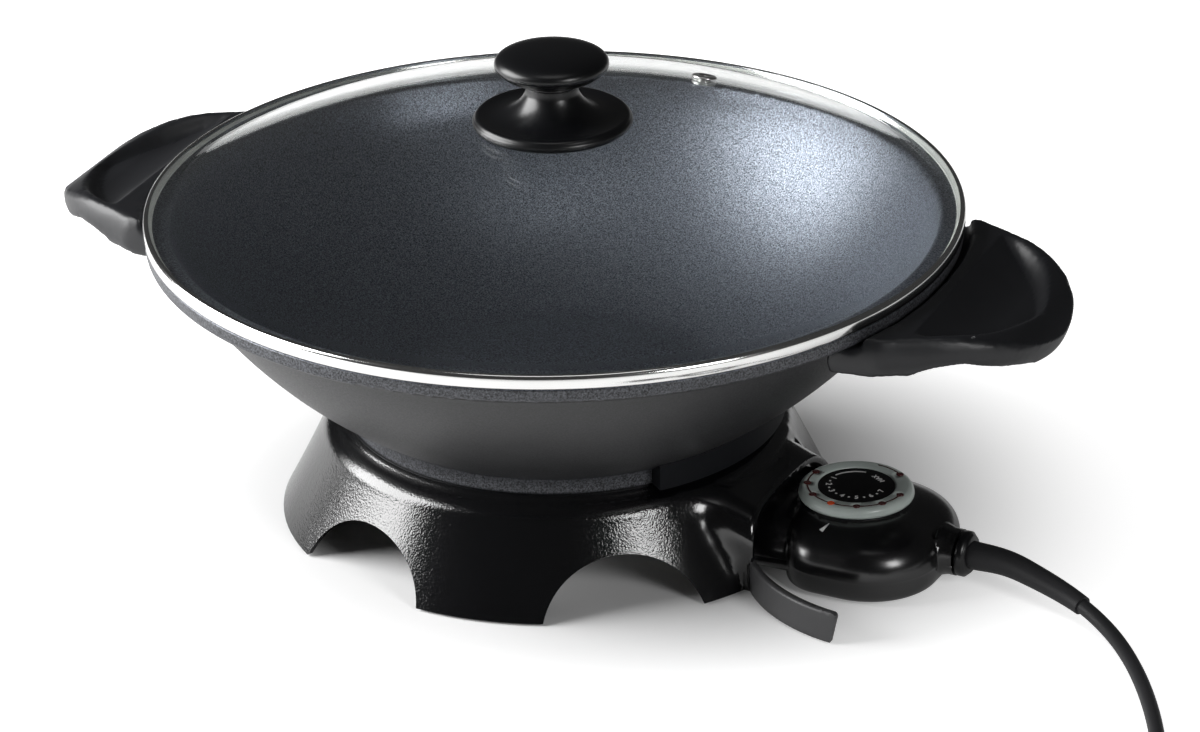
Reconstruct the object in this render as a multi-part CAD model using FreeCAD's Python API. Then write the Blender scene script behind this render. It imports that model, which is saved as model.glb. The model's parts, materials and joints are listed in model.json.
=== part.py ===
"""Electric wok: die-cast pan on an arched base, loose glass lid, plug-in dial control with its lead.

Millimetres. The origin is on the table under the wok's axis, +Z is up and +X runs along the control.
"""
import math
import os

import FreeCAD
import Part

# Driving dimensions: lid and pan
RIM_R = 175.0            # outer radius of the lid's steel rim
RIM_BOTTOM = 134.0       # the lid rests here, on the pan's flange
RIM_HEIGHT = 6.4
RIM_SHEET = 0.8          # thickness of the rolled steel band
RIM_LIP = 2.4            # width of the band's upper lip
GLASS = 3.8              # thickness of the lid glass
GLASS_APEX = 177.0       # top of the glass dome
GLASS_BRIM = 4.5         # width of the flat brim that the rim holds
KNOB_SEAM_R = 23.4
VENT_R = 104.0           # distance of the steam vent from the axis
VENT_ANGLE = 78.0
RIM_OVERHANG = 0.6       # the rim stands out this far over the pan's flange
FLANGE_R = RIM_R - RIM_OVERHANG
FOOT_R = 91.0            # outer radius of the pan's foot ring
FOOT_HEIGHT = 10.0
FOOT_BOTTOM = 43.0
PAN_FLOOR = 56.0         # inner floor of the pan
PAN_UNDER = 50.0         # underside of the pan's floor

# Driving dimensions: base
BASE_R = 121.3
BASE_WALL = 2.8
SHOULDER_R = FOOT_R + 11.7   # where the flared wall turns in to the pan's seat
SHOULDER_Z = 37.0
FLARE_BOW = -0.3         # the flared wall is a little hollow
LEDGE_R = FOOT_R + 4.2
LEDGE_Z = 43.75
PLATE_RIM = 46.4         # top of the rim that stands round the pan's foot
ARCH_R = 37.0
ARCH_CENTRE_Z = -12.0
ARCH_ANGLES = (-109.2, -49.2, 49.2, 109.2, 180.0)
FEET_R = BASE_R - 14.3
STAND = 0.8              # the rubber feet stand out this far under the shell
LEG_ANGLES = (-144.6, -79.2, 79.2, 144.6)
HOOD_NEAR = -46.5        # the hood's sides; its far shoulder is narrower and rounder
HOOD_FAR = 39.0
HOOD_LIP_U = BASE_R - 9.3
MOUTH_R = 268.0          # the hood's mouth is a little hollow, seen from above
HOOD_LIP_Z = 34.5
HOOD_NEAR_ROUND = 12.0
HOOD_FAR_ROUND = 24.0
GUARD_HEIGHT = 14.6      # curved guard strip beside the control
SCREW_RING_R = 80.0      # three screws hold the base to the pan
SCREW_ANGLES = (60.0, 180.0, 300.0)

# Driving dimensions: handles; places along a handle count from the pan's axis
HANDLE_ANGLE = 3.8
HANDLE_TIP = FLANGE_R + 55.6
HANDLE_ROOT = FLANGE_R - 24.4
HANDLE_HALF = 69.5       # half-width at the root
HANDLE_TOP = 132.4
SCOOP_START = 47.5       # the hollow in the top starts this far in from the tip
SCOOP_END = 24.0
SCOOP_Z = 123.4
RIDGE_END = 12.0         # the ridges beside the hollow fall to this height near the tip
RIDGE_Z = 125.8
HANDLE_TIP_TOP = 113.5
HANDLE_UNDER = 115.2     # underside at the root
FINGER_Z = 120.0         # highest part of the underside, where the fingers go
HANDLE_GAP = 0.4         # between a handle and the pan's wall
LUG_LOW = 114.0
LUG_TOP = 121.0
LUG_END = FLANGE_R + 8.6
BOLT_U = FLANGE_R + 1.6
BOLT_V = 14.0

# Driving dimensions: control and dial
DIAL_U = HOOD_LIP_U + 30.0
BODY_HALF = 39.5         # half-width of the control's body
BODY_V = -2.0            # its middle line, beside the dial's axis
BODY_FRONT = DIAL_U - 21.0
BODY_END = DIAL_U + 42.5
END_ROUND = 31.0
FRONT_ROUND = 20.0
DOME_RISE = 20.0         # of the body's domed section above its seam
DOME_POWER = 2.6         # 2 is an ellipse, more is fuller
BODY_BOTTOM = 1.6
BODY_SEAM = 12.0
BODY_DECK = 31.0
BODY_WALL = 2.4
NOSE_HALF = 34.5
NOSE_RISE = 17.3
NOSE_DROP = 8.5
NOSE_U = HOOD_LIP_U - 12.0
DIAL_R = 24.4
DIAL_FACE_R = 16.4
DIAL_TOP = 36.0
DIAL_GAP = 0.3           # under the dial
DOT_RING_R = 20.8
DOT_R = 1.6
DOT_ANGLES = tuple(-190.0 + 31.1 * i for i in range(7)) + (52.0,)
LIT_ANGLE = DOT_ANGLES[3]    # the dot by the housing's pointer
SPINDLE_R = 3.0
RUNNING = 0.05           # radial clearance of a running fit
PROBE_R = 3.1
PROBE_Z = 20.0
PROBE_TIP = 44.0
CONTACT_HALF = 20.5
CONTACT_TOP = 24.8
POSTS = ((DIAL_U - 11.0, 0.0), (DIAL_U + 18.0, 26.0), (DIAL_U + 18.0, -26.0))
PIN_R = 2.4
PIN_PITCH = 30.0
PLATE_U = 66.0           # inner face of the ceramic plate
PLATE_THICK = 5.0
PIN_END = NOSE_U - 8.0
EXIT_Z = 14.3            # height of the lead's exit

# Driving dimensions: lead
CORD_D = 6.4
CORD_Z = 3.3
CORD_START = BODY_END + 11.0
CORD_ROUTE = (
    (CORD_START, 0.0, EXIT_Z),
    (212.0, 0.0, EXIT_Z),
    (231.0, -4.2, 11.2),
    (249.0, -9.3, 7.4),
    (266.0, -20.2, 4.2),
    (281.0, -36.5, CORD_Z),
    (296.0, -58.0, CORD_Z),
    (311.0, -84.0, CORD_Z),
    (324.0, -112.0, CORD_Z),
    (332.0, -140.5, CORD_Z),
)
COIL_R = 35.0            # middle of the coil's turns
COIL_EXIT = -62.0        # where on the coil the far end leaves
PLUG_R = 18.7
PLUG_BODY = 38.0
PLUG_RELIEF = 26.0
PLUG_PIN_R = 2.4
PLUG_PIN_V = 9.5
EARTH_R = 16.2           # the earth strips lie in grooves this far out
PLUG_TAPER = 5.6         # the plug lies on its tapered side
TAIL = 28.0              # free lead between the coil and the plug
STUB = 24.0              # straight lead before the coil

TOP = FreeCAD.Vector(0, 0, 1)


def vec(x, y, z=0.0):
    return FreeCAD.Vector(x, y, z)


def outline(start, *steps):
    """Face in the XZ plane: two numbers are a line's end, four an arc's middle and end."""
    edges = []
    here = vec(start[0], 0, start[1])
    for step in steps:
        end = vec(step[-2], 0, step[-1])
        if len(step) == 2:
            edges.append(Part.LineSegment(here, end).toShape())
        else:
            edges.append(Part.Arc(here, vec(step[0], 0, step[1]), end).toShape())
        here = end
    first = vec(start[0], 0, start[1])
    if here.distanceToPoint(first) > 1e-6:
        edges.append(Part.LineSegment(here, first).toShape())
    return Part.Face(Part.Wire(edges))


def turned(start, *steps, at=(0.0, 0.0)):
    """Solid of revolution about the vertical through at."""
    solid = outline(start, *steps).revolve(vec(0, 0), TOP, 360)
    return solid.translated(vec(at[0], at[1]))


def bowed(start, end, bow):
    """Arc step between two points that bows out by a distance to the right of its way."""
    along = vec(end[0] - start[0], end[1] - start[1])
    side = vec(along.y, -along.x).normalize() * bow
    return ((start[0] + end[0]) / 2.0 + side.x, (start[1] + end[1]) / 2.0 + side.y, end[0], end[1])


def rod(radius, start, end):
    along = vec(*end) - vec(*start)
    return Part.makeCylinder(radius, along.Length, vec(*start), along)


def tube(outer, inner, start, end):
    return rod(outer, start, end).cut(rod(inner, start, end))


def block(low, high):
    size = vec(*high) - vec(*low)
    return Part.makeBox(size.x, size.y, size.z, vec(*low))


def around(shape, angle):
    turned_shape = shape.copy()
    turned_shape.rotate(vec(0, 0), TOP, angle)
    return turned_shape


def polar(radius, angle, z):
    return (radius * math.cos(math.radians(angle)), radius * math.sin(math.radians(angle)), z)


def across(profile):
    """Cutter with a side-on profile, wider than a handle."""
    return profile.extrude(vec(0, 180.0)).translated(vec(0, -90.0))


def joined(shapes):
    whole = shapes[0]
    for shape in shapes[1:]:
        whole = whole.fuse(shape)
    return whole.removeSplitter()


# ---------------------------------------------------------------- base

def cone_profile(inset):
    """Concave flared wall of the base, moved in by inset."""
    low = (BASE_R - inset, 0.0)
    return low, bowed(low, (SHOULDER_R - inset, SHOULDER_Z), FLARE_BOW)


def base_wall():
    outer, flare = cone_profile(0.0)
    inner, inner_flare = cone_profile(BASE_WALL)
    plate_z = FOOT_BOTTOM
    under_z = plate_z - BASE_WALL
    return turned(
        outer, flare, (SHOULDER_R - 3.1, SHOULDER_Z + 4.6, LEDGE_R, LEDGE_Z), (FOOT_R + 1.4, PLATE_RIM),
        (FOOT_R + 0.4, PLATE_RIM), (FOOT_R + 0.4, plate_z), (66.0, plate_z), (66.0, under_z),
        (FOOT_R + 3.0, under_z), (FOOT_R + 7.0, under_z - 1.0, inner_flare[2], under_z - 4.2),
        (inner_flare[0], inner_flare[1], inner[0], 0.0))


def hood_block(inset, start):
    """Rounded prism of the hood: sloping roof and upright sides."""
    near = HOOD_NEAR + inset
    slope = (LEDGE_Z - HOOD_LIP_Z) / (HOOD_LIP_U - 88.0)
    end = HOOD_LIP_U + 14.0
    side = Part.Wire(Part.makePolygon([
        vec(start, near, -1.0), vec(end, near, -1.0),
        vec(end, near, HOOD_LIP_Z - inset - slope * (end - HOOD_LIP_U)),
        vec(start, near, HOOD_LIP_Z - inset + slope * (HOOD_LIP_U - start)),
        vec(start, near, -1.0)]))
    prism = Part.Face(side).extrude(vec(0, HOOD_FAR - inset - near))
    for radius, on_side in ((HOOD_NEAR_ROUND, -1), (HOOD_FAR_ROUND, 1)):
        shoulder = [e for e in prism.Edges
                    if e.BoundBox.ZMin > 20 and e.BoundBox.YLength < 0.01 and e.BoundBox.XLength > 5
                    and e.BoundBox.YMin * on_side > 30]
        prism = prism.makeFillet(radius - inset, shoulder)
    return prism


def hood():
    """Hood with a slightly hollow mouth, clear of the pan's foot."""
    outer = hood_block(0.0, 84.0)
    mouth = Part.makeCylinder(MOUTH_R, 80.0, vec(HOOD_LIP_U - 0.6 + MOUTH_R, 0, -10))
    outer = outer.cut(mouth).cut(block((60, -60, -5), (140, 60, 0)))
    return outer.cut(rod(FOOT_R + 0.4, (0, 0, FOOT_BOTTOM), (0, 0, 60.0)))


def guard():
    """Curved strip that runs from the mouth's near corner round the control, its end cut aslant."""
    lip = HOOD_LIP_U
    outer = Part.Arc(vec(lip - 0.2, -43.5), vec(lip + 27.0, -66.3), vec(lip + 56.0, -74.2)).toShape()
    inner = Part.Arc(vec(lip + 56.6, -71.5), vec(lip + 28.4, -63.8), vec(lip + 2.0, -42.2)).toShape()
    ends = [Part.LineSegment(vec(lip + 56.0, -74.2), vec(lip + 56.6, -71.5)).toShape(),
            Part.LineSegment(vec(lip + 2.0, -42.2), vec(lip - 0.2, -43.5)).toShape()]
    strip = Part.Face(Part.Wire([outer, ends[0], inner, ends[1]])).extrude(vec(0, 0, GUARD_HEIGHT))
    above = GUARD_HEIGHT + 1.0
    aslant = outline((lip + 51.2, -1.0), (lip + 54.9, above), (lip + 68.0, above), (lip + 68.0, -1.0))
    strip = strip.cut(across(aslant))
    tip = [e for e in strip.Edges
           if e.BoundBox.ZMin > 5 and e.BoundBox.XMin > lip + 48.0 and e.BoundBox.YLength > 1]
    return strip.makeFillet(1.6, tip)


def arch(angle):
    cutter = rod(ARCH_R, (84.0, 0, ARCH_CENTRE_Z), (140.0, 0, ARCH_CENTRE_Z))
    return around(cutter, angle)


def base_shell():
    shell = base_wall().fuse(hood())
    low, flare = cone_profile(BASE_WALL)
    under_z = FOOT_BOTTOM - BASE_WALL
    void = turned((0.0, -1.0), (low[0] + 0.5, -1.0), low, flare,
                  (FOOT_R + 7.0, under_z - 1.0, FOOT_R + 3.0, under_z), (0.0, under_z))
    shell = shell.cut(void)
    shell = shell.cut(hood_block(BASE_WALL, 78.0).cut(block((60, -60, under_z), (96, 60, 60))))
    shell = shell.fuse(guard())
    for angle in ARCH_ANGLES:
        shell = shell.cut(arch(angle))
    bosses = [rod(4.2, polar(SCREW_RING_R, a, 24.0), polar(SCREW_RING_R, a, 41.0)) for a in SCREW_ANGLES]
    shell = joined([shell] + bosses + [leg_socket(a) for a in LEG_ANGLES])
    shell = shell.cut(block((-200, -200, -5), (200, 200, STAND)))
    for angle in SCREW_ANGLES:
        shell = shell.cut(rod(1.7, polar(SCREW_RING_R, angle, 20.0), polar(SCREW_RING_R, angle, 44.0)))
    return shell


def leg_socket(angle):
    """Rib inside a leg that carries a rubber foot."""
    rib = block((FEET_R - 7.0, -4.0, 1.5), (FEET_R + 10.0, 4.0, 9.0))
    low, flare = cone_profile(1.0)
    keep = turned((0.0, 0.0), low, flare, (0.0, SHOULDER_Z))
    return around(rib.common(keep), angle)


def rubber_feet():
    return Part.makeCompound([rod(5.0, polar(FEET_R, a, 0.0), polar(FEET_R, a, 1.5)) for a in LEG_ANGLES])


def base_screws():
    screws = []
    for angle in SCREW_ANGLES:
        head = rod(3.6, polar(SCREW_RING_R, angle, 22.0), polar(SCREW_RING_R, angle, 24.0))
        shank = rod(1.5, polar(SCREW_RING_R, angle, 24.0), polar(SCREW_RING_R, angle, 47.0))
        screws.append(head.fuse(shank))
    return Part.makeCompound(screws)


# ---------------------------------------------------------------- pan

def bowl_outside(gap):
    """Outline of the bowl's outer wall up to the flange's underside, moved out by gap."""
    low = (FOOT_R + 1.5 + gap, FOOT_BOTTOM + FOOT_HEIGHT + 1.0)
    high = (FLANGE_R - 14.4 + gap, RIM_BOTTOM - 14.0)
    return (low, bowed(low, high, 5.2),
            (FLANGE_R - 8.9 + gap, RIM_BOTTOM - 8.0 - gap, FLANGE_R - 3.4, RIM_BOTTOM - 6.5 - gap))


def bowl_inside():
    """Outline of the bowl's inner wall, from the flange down to the floor."""
    high = (FLANGE_R - 17.4, RIM_BOTTOM - 14.0)
    low = (FOOT_R - 13.0, PAN_FLOOR + 2.5)
    return ((FLANGE_R - 9.4, RIM_BOTTOM),
            (FLANGE_R - 11.2, RIM_BOTTOM - 0.6, FLANGE_R - 12.2, RIM_BOTTOM - 2.2), high,
            bowed(high, low, -8.6), (FOOT_R - 23.0, PAN_FLOOR, FOOT_R - 33.0, PAN_FLOOR), (0.0, PAN_FLOOR))


def wok_pan():
    """Cast body: foot ring, bowl, flange, handle lugs and the probe's socket in one piece."""
    body = turned(
        (0.0, PAN_UNDER), (FOOT_R - 7.0, PAN_UNDER), (FOOT_R - 7.0, FOOT_BOTTOM), (FOOT_R, FOOT_BOTTOM),
        (FOOT_R, FOOT_BOTTOM + FOOT_HEIGHT), *bowl_outside(0.0),
        (FLANGE_R - 0.8, RIM_BOTTOM - 5.8, FLANGE_R, RIM_BOTTOM - 4.0), (FLANGE_R, RIM_BOTTOM - 0.8),
        (FLANGE_R - 0.2, RIM_BOTTOM - 0.2, FLANGE_R - 0.8, RIM_BOTTOM), *bowl_inside())
    body = body.cut(Part.makeTorus(62.0, 4.1, vec(0, 0, PAN_UNDER - 1.0)))
    posts = [rod(5.5, polar(SCREW_RING_R, a, FOOT_BOTTOM), polar(SCREW_RING_R, a, PAN_UNDER + 1.0))
             for a in SCREW_ANGLES]
    socket = block((38.0, -7.0, 13.0), (62.0, 7.0, PAN_UNDER + 1.0))
    lugs = [handle_lug(a) for a in (HANDLE_ANGLE, HANDLE_ANGLE + 180.0)]
    body = joined([body, socket] + posts + lugs)
    for angle in SCREW_ANGLES:
        bore = rod(1.55, polar(SCREW_RING_R, angle, FOOT_BOTTOM - 1), polar(SCREW_RING_R, angle, 48.0))
        body = body.cut(bore)
    return body.cut(rod(PROBE_R + RUNNING, (PROBE_TIP - 2.0, 0, PROBE_Z), (70.0, 0, PROBE_Z)))


def handle_lug(angle):
    """Cast lug under the flange that a handle bolts onto."""
    lug = block((HANDLE_ROOT, -24.0, LUG_LOW), (LUG_END, 24.0, LUG_TOP))
    low, wall, _ = bowl_outside(-0.5)
    lug = lug.cut(turned((0.0, low[1]), low, wall, (wall[2], LUG_TOP + 4.0), (0.0, LUG_TOP + 4.0)))
    for side in (-BOLT_V, BOLT_V):
        lug = lug.cut(rod(2.1, (BOLT_U, side, LUG_LOW - 1), (BOLT_U, side, LUG_TOP + 1)))
    return around(lug, angle)


def heating_element():
    """Sheathed ring under the pan with its two legs running down to the socket."""
    ring = Part.makeTorus(62.0, 4.0, vec(0, 0, PAN_UNDER - 1.0))
    gap = block((40.0, -15.0, 40.0), (80.0, 15.0, 60.0))
    ring = ring.cut(gap)
    legs = []
    for side in (-PIN_PITCH / 2, PIN_PITCH / 2):
        legs.append(rod(3.0, (60.2, side, PROBE_Z), (60.2, side, PAN_UNDER - 1.0)))
        legs.append(Part.makeSphere(3.0, vec(60.2, side, PROBE_Z)))
        legs.append(rod(3.0, (60.2, side, PROBE_Z), (PLATE_U + PLATE_THICK + 1.0, side, PROBE_Z)))
    return joined([ring] + legs)


def terminal_pins():
    pins = []
    for side in (-PIN_PITCH / 2, PIN_PITCH / 2):
        pin = rod(PIN_R, (PLATE_U + PLATE_THICK + 1.0, side, PROBE_Z), (PIN_END, side, PROBE_Z))
        tip = [e for e in pin.Edges if e.BoundBox.XMin > PIN_END - 1.0]
        pins.append(pin.makeFillet(1.2, tip))
    return Part.makeCompound(pins)


def terminal_plate():
    """Ceramic plate that spaces the element's legs and the probe's socket."""
    plate = block((PLATE_U, -24.0, 12.0), (PLATE_U + PLATE_THICK, 24.0, 28.0))
    for side in (-PIN_PITCH / 2, PIN_PITCH / 2):
        plate = plate.cut(rod(3.05, (PLATE_U - 5.0, side, PROBE_Z), (PLATE_U + 10.0, side, PROBE_Z)))
    plate = plate.cut(rod(PROBE_R + 1.0, (PLATE_U - 5.0, 0, PROBE_Z), (PLATE_U + 10.0, 0, PROBE_Z)))
    corners = [e for e in plate.Edges
               if e.BoundBox.XLength > 0.9 * PLATE_THICK and abs(e.BoundBox.YMin) > 20]
    return plate.makeFillet(2.0, corners)


def terminal_cover():
    """Curved cover between the hood and the bowl, over the element's terminals."""
    ring = outline((FOOT_R + 0.3, PLATE_RIM), (FOOT_R + 8.0, PLATE_RIM), (FOOT_R + 8.0, 58.0),
                   (FOOT_R + 0.3, 58.0))
    cover = ring.revolve(vec(0, 0), TOP, 74.0)
    cover.rotate(vec(0, 0), TOP, -37.0)
    low, wall, _ = bowl_outside(0.2)
    foot = FOOT_BOTTOM + FOOT_HEIGHT
    clear = turned((0.0, 40.0), (FOOT_R + 0.2, 40.0), (FOOT_R + 0.2, foot), low, wall, (0.0, wall[3]))
    return cover.cut(clear)


# ---------------------------------------------------------------- handles

def handle_section(z, inset):
    """Closed outline of a handle at height z, seen from above and drawn in by inset."""
    half = [(58.0, 2.0), (46.0, 8.0), (31.0, 15.5), (17.0, 26.5), (7.0, 40.5)]
    side = [(HANDLE_TIP - back - inset * (1.0 - back / 58.0), HANDLE_HALF - taken - inset)
            for back, taken in half]
    rim = side + [(HANDLE_TIP - inset, 0.0)] + [(u, -v) for u, v in reversed(side)]
    curve = Part.BSplineCurve()
    curve.interpolate([vec(u, v, z) for u, v in rim])
    root = [rim[-1], (HANDLE_ROOT, inset - HANDLE_HALF), (HANDLE_ROOT, HANDLE_HALF - inset), rim[0]]
    root = [vec(u, v, z) for u, v in root]
    sides = [Part.LineSegment(a, b).toShape() for a, b in zip(root, root[1:])]
    return Part.Wire([curve.toShape()] + sides)


def grip_between(levels):
    """Solid with the handle's plan, drawn in by a given inset at each height."""
    shift = HANDLE_UNDER - 115.2
    return Part.makeLoft([handle_section(z + shift, inset) for z, inset in levels], True)


def top_cutter(*steps):
    """Everything above a side-on line that runs from the root out over the tip."""
    back = HANDLE_ROOT - 5.0
    beyond = HANDLE_TIP + 6.0
    end = ((beyond, HANDLE_TIP_TOP), (beyond, 150.0), (back, 150.0))
    return across(outline((back, HANDLE_TOP), *steps, *end))


def handle():
    """Sculpted grip: fan-shaped plan, ridges beside a hollow that is open to the tip, arched underside."""
    grip = grip_between(((106.0, 7.5), (110.0, 3.6), (115.0, 1.6), (119.0, 0.3), (124.0, 0.0),
                         (129.0, 1.0), (134.0, 5.2)))
    tip_fall = (HANDLE_TIP + 2.0, HANDLE_TIP_TOP)
    level_end = (HANDLE_TIP - 36.0, HANDLE_TOP)
    ridge_end = (HANDLE_TIP - RIDGE_END, RIDGE_Z)
    crease = (HANDLE_TIP - SCOOP_START, HANDLE_TOP)
    lip = (HANDLE_TIP - SCOOP_END, SCOOP_Z)
    lip_end = (HANDLE_TIP - 8.0, SCOOP_Z - 2.6)
    over = top_cutter(level_end, bowed(level_end, ridge_end, -1.0), bowed(ridge_end, tip_fall, -1.2))
    scoop = top_cutter(crease, bowed(crease, lip, 1.9), bowed(lip, lip_end, -0.5),
                       bowed(lip_end, tip_fall, -1.0))
    hollow = scoop.common(grip_between(((112.0, 24.0), (119.0, 18.0), (123.0, 13.5), (127.0, 9.5),
                                        (131.0, 6.5), (136.0, 4.5))))
    root_end = (HANDLE_TIP - 48.0, HANDLE_UNDER)
    finger = (HANDLE_TIP - 27.0, FINGER_Z)
    under_end = (HANDLE_TIP - 8.0, FINGER_Z - 8.6)
    back = HANDLE_ROOT - 5.0
    beyond = HANDLE_TIP + 6.0
    under = outline((back, HANDLE_UNDER), root_end, bowed(root_end, finger, -1.2),
                    bowed(finger, under_end, -0.6), (beyond, FINGER_Z - 12.0), (beyond, 95.0), (back, 95.0))
    grip = grip.cut(over).cut(across(under)).cut(hollow)
    low, wall, flange = bowl_outside(HANDLE_GAP)
    outside = FLANGE_R + 2.6
    pan = turned((0.0, low[1]), low, wall, flange, (outside, flange[3] + 0.5), (outside, 140.0), (0.0, 140.0))
    grip = grip.cut(pan).cut(block((140.0, -24.3, 90.0), (LUG_END + 0.3, 24.3, LUG_TOP + 0.3)))
    for v in (-BOLT_V, BOLT_V):
        grip = grip.cut(rod(2.1, (BOLT_U, v, LUG_TOP - 1), (BOLT_U, v, LUG_TOP + 5.5)))
    return grip


def handle_bolts():
    bolts = []
    for angle in (HANDLE_ANGLE, HANDLE_ANGLE + 180.0):
        for side in (-BOLT_V, BOLT_V):
            bolt = rod(2.0, (BOLT_U, side, LUG_LOW - 2.0), (BOLT_U, side, LUG_TOP + 5.0))
            head = rod(4.0, (BOLT_U, side, LUG_LOW - 2.4), (BOLT_U, side, LUG_LOW))
            bolts.append(around(bolt.fuse(head), angle))
    return Part.makeCompound(bolts)


# ---------------------------------------------------------------- lid

def dome_radius(chord, rise):
    return (chord * chord + rise * rise) / (2.0 * rise)


BRIM_TOP = RIM_BOTTOM + RIM_HEIGHT - RIM_SHEET - 0.4
CHORD = RIM_R - RIM_SHEET - GLASS_BRIM
DOME_R = dome_radius(CHORD, GLASS_APEX - BRIM_TOP)


def dome_z(radius, below=0.0):
    """Height of the glass's outer face, or of the face that lies below it."""
    return math.sqrt((DOME_R - below) ** 2 - radius * radius) + GLASS_APEX - DOME_R


def lid_glass():
    inner_chord = CHORD - 0.6
    rim_in = RIM_R - RIM_SHEET - 0.2
    half_way = CHORD / 2.0
    glass = turned(
        (3.2, dome_z(3.2)), (half_way, dome_z(half_way), CHORD, BRIM_TOP), (rim_in, BRIM_TOP),
        (rim_in, BRIM_TOP - GLASS), (inner_chord, BRIM_TOP - GLASS),
        (half_way, dome_z(half_way, GLASS), 3.2, dome_z(3.2, GLASS)))
    return glass.cut(at_vent(rod(3.1, (0, 0, -10.0), (0, 0, 10.0))))


def at_vent(shape):
    """Moves a shape made round the origin onto the glass at the vent, square to the dome."""
    tilt = math.degrees(math.asin(VENT_R / DOME_R))
    moved = shape.copy()
    moved.rotate(vec(0, 0), vec(0, 1), tilt)
    moved.translate(vec(VENT_R, 0, dome_z(VENT_R)))
    return around(moved, VENT_ANGLE)


def lid_rim():
    """Rolled steel band round the glass's brim, with lips over and under it."""
    top = RIM_BOTTOM + RIM_HEIGHT
    lip = RIM_R - GLASS_BRIM
    return turned(
        (lip, RIM_BOTTOM), (RIM_R - 1.4, RIM_BOTTOM), (RIM_R - 0.4, RIM_BOTTOM + 0.4),
        (RIM_R, RIM_BOTTOM + 1.4), (RIM_R, top - 1.6), (RIM_R - 0.5, top - 0.4), (RIM_R - 1.4, top),
        (RIM_R - RIM_LIP, top - 0.2), (RIM_R - RIM_LIP, BRIM_TOP + 0.1), (RIM_R - RIM_SHEET, BRIM_TOP + 0.1),
        (RIM_R - RIM_SHEET, RIM_BOTTOM + RIM_SHEET), (lip, RIM_BOTTOM + RIM_SHEET))


def rim_gasket():
    """Thin packing between the glass's brim and the band's lower lip."""
    inside = RIM_R - GLASS_BRIM + 0.2
    outside = RIM_R - RIM_SHEET - 0.2
    low = RIM_BOTTOM + RIM_SHEET
    return turned((inside, low), (outside, low), (outside, BRIM_TOP - GLASS), (inside, BRIM_TOP - GLASS))


def vent_eyelet():
    eyelet = turned((1.6, -5.2), (5.2, -5.2), (5.2, -4.4), (3.0, -4.0), (3.0, 0.3), (5.6, 0.3),
                    (5.4, 1.0, 4.2, 1.2), (2.2, 1.0, 1.6, 0.2))
    return at_vent(eyelet)


def knob_collar():
    """Flared collar that stands on the glass and rises into the knob's neck."""
    return on_apex(turned(
        (2.8, 0.6), (23.0, 0.6), (31.0, -0.7), (33.0, -1.0), (34.0, 0.6, 33.2, 2.6),
        (32.6, 3.4, 31.0, 3.8), (17.0, 6.6, 11.2, 14.0), (11.2, 17.0), (2.8, 17.0)))


def knob_cap():
    """Pressed dome that the hand holds, above the seam."""
    return on_apex(turned(
        (0.0, 24.4), (KNOB_SEAM_R, 24.4), (KNOB_SEAM_R + 0.9, 26.0, KNOB_SEAM_R, 28.0),
        (KNOB_SEAM_R - 4.4, 31.2, 9.0, 32.5), (0.0, 32.5)))


def knob_base():
    """Underside of the grip, with the grooved neck and the screw's bore."""
    return on_apex(turned(
        (2.6, 17.0), (10.6, 17.0), (10.6, 18.2), (9.9, 18.6), (10.6, 19.0), (10.8, 20.0),
        (18.0, 20.8, KNOB_SEAM_R - 0.3, 24.4), (0.0, 24.4), (0.0, 23.0), (2.6, 23.0)))


def on_apex(shape):
    """Moves a shape made round the origin up to the glass's highest point."""
    return shape.translated(TOP * GLASS_APEX)


def knob_washer():
    under = dome_z(0.0, GLASS)
    return turned((2.7, under - 2.2), (10.0, under - 2.2), (10.0, under - 0.2), (2.7, under - 0.2))


def knob_screw():
    under = dome_z(0.0, GLASS) - 2.2
    return turned((0.0, under - 2.6), (3.0, under - 2.4, 4.6, under), (2.5, under),
                  (2.5, GLASS_APEX + 22.6), (0.0, GLASS_APEX + 22.6))


def knob_seat():
    """Soft ring between the glass and the collar."""
    return turned((5.0, dome_z(5.0)), (11.0, dome_z(11.0), 18.0, dome_z(18.0)),
                  (18.0, GLASS_APEX + 0.6), (5.0, GLASS_APEX + 0.6))


# ---------------------------------------------------------------- control

def body_outline(z, scale, inset=0.0):
    """Rounded D of the control's body at height z; its front stays put while the rest shrinks."""
    half = BODY_HALF * scale - inset
    line = BODY_V * scale
    end = DIAL_U + (BODY_END - DIAL_U) * scale - inset
    front = BODY_FRONT + 5.0 * (1.0 - scale) - inset
    far = END_ROUND * scale - inset
    near = FRONT_ROUND * scale
    corners = ((end, line + half, far, 1, 1), (front, line + half, near, -1, 1),
               (front, line - half, near, -1, -1), (end, line - half, far, 1, -1))
    edges = []
    spots = []
    for u, v, r, su, sv in corners:
        centre = vec(u - su * r, v - sv * r, z)
        side = vec(u, centre.y, z)
        cap = vec(centre.x, v, z)
        middle = centre + vec(su, sv).normalize() * r
        start, stop = (side, cap) if su * sv > 0 else (cap, side)
        edges.append(Part.Arc(start, middle, stop).toShape())
        spots.append((start, stop))
    ordered = []
    for i, edge in enumerate(edges):
        ordered.append(edge)
        ordered.append(Part.LineSegment(spots[i][1], spots[(i + 1) % 4][0]).toShape())
    return Part.Wire(ordered)


def body_dome(inset=0.0):
    """Upper half of the body, or the hollow inside it."""
    rise = DOME_RISE - inset
    heights = [rise * part for part in (0.0, 0.25, 0.5, 0.7, 0.85, 0.95)]
    outlines = []
    for height in heights:
        scale = (1.0 - (height / rise) ** DOME_POWER) ** (1.0 / DOME_POWER)
        outlines.append(body_outline(BODY_SEAM + height, scale, inset))
    return Part.makeLoft(outlines, True)


def body_bowl(inset=0.0):
    """Lower half of the body: shallow, with a rounded bottom edge."""
    low = BODY_BOTTOM + inset
    levels = ((low, 0.9), (low + 1.2, 0.955), (low + 4.0, 0.985), (BODY_SEAM, 1.0))
    return Part.makeLoft([body_outline(z, scale, inset) for z, scale in levels], True)


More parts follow.
